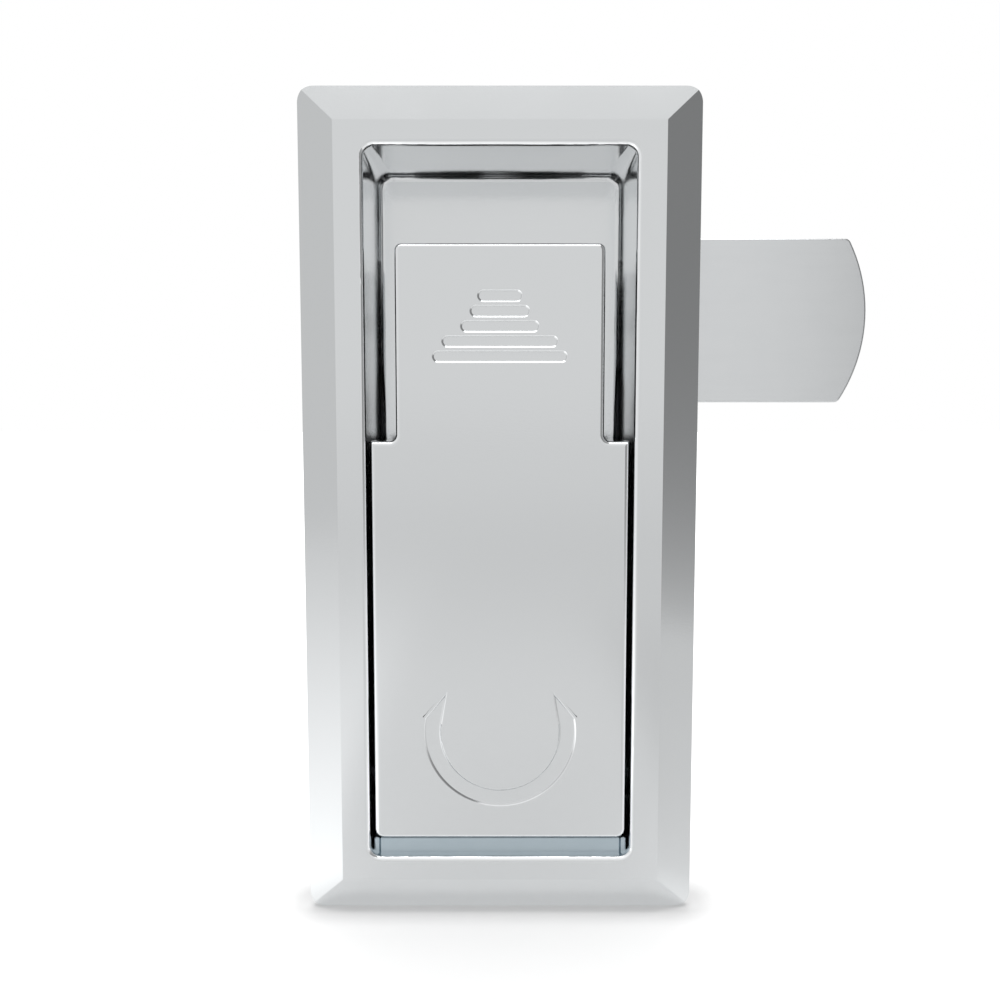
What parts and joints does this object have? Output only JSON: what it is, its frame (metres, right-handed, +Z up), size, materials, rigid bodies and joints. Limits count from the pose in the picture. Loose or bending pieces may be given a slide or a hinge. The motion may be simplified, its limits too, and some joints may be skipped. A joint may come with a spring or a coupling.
{
  "type": "compression latch",
  "caption": "Flush compression latch: a chromed pan with a lever handle that lifts on a cross pin and lets out a flat side pawl, clamped from behind.",
  "frame": {"origin": "centre of the panel's cut-out, on the plane where the bezel's back lies on the panel", "axes": "+Z up along the latch, +Y into the panel, +X towards the pawl's tip"},
  "size_m": [0.0846, 0.0402, 0.1134],
  "materials": {
    "chrome_casting": "bright satin chrome plate on a zinc die casting",
    "black_rubber": "moulded matt black rubber",
    "hard_steel": "ground hardened steel",
    "plated_steel": "zinc plated steel",
    "plated_sheet": "zinc plated sheet steel",
    "pawl_steel": "pale plated steel strip",
    "turned_steel": "turned and milled steel",
    "spring_steel": "drawn spring steel",
    "bronze": "sintered bronze"
  },
  "bodies": {
    "housing": {"housing": "chrome_casting", "bezel_gasket": "black_rubber", "wear_plate": "hard_steel", "wear_screws": "plated_steel", "spindle_bush": "bronze", "spindle_seal": "black_rubber", "stop_pins": "hard_steel", "rest_buffers": "black_rubber", "clamp_brackets": "plated_sheet", "clamp_washers": "plated_steel", "clamp_screws": "plated_steel", "return_spring": "spring_steel"},
    "spindle": {"spindle": "turned_steel", "stop_washer": "plated_sheet", "pawl": "pawl_steel", "pawl_washer": "plated_steel", "lock_washer": "spring_steel", "pawl_nut": "plated_steel"},
    "handle": {"handle": "chrome_casting", "cross_pin": "hard_steel", "pin_spacers": "plated_steel"}
  },
  "joints": [
    {"name": "spindle_slide", "type": "slide", "parent": "housing", "child": "spindle", "axis": [0, 1, 0], "range_m": [0, 0.00281], "deforming": ["return_spring"]},
    {"name": "handle_lift", "type": "hinge", "parent": "spindle", "child": "handle", "pos_m": [0, 0.0012, 0.02775], "axis": [-1, 0, 0], "range_deg": [0, 90]}
  ],
  "couplings": [
    {"joint": "spindle_slide", "follows": "handle_lift", "m_per_rad": 0.0017825}
  ]
}
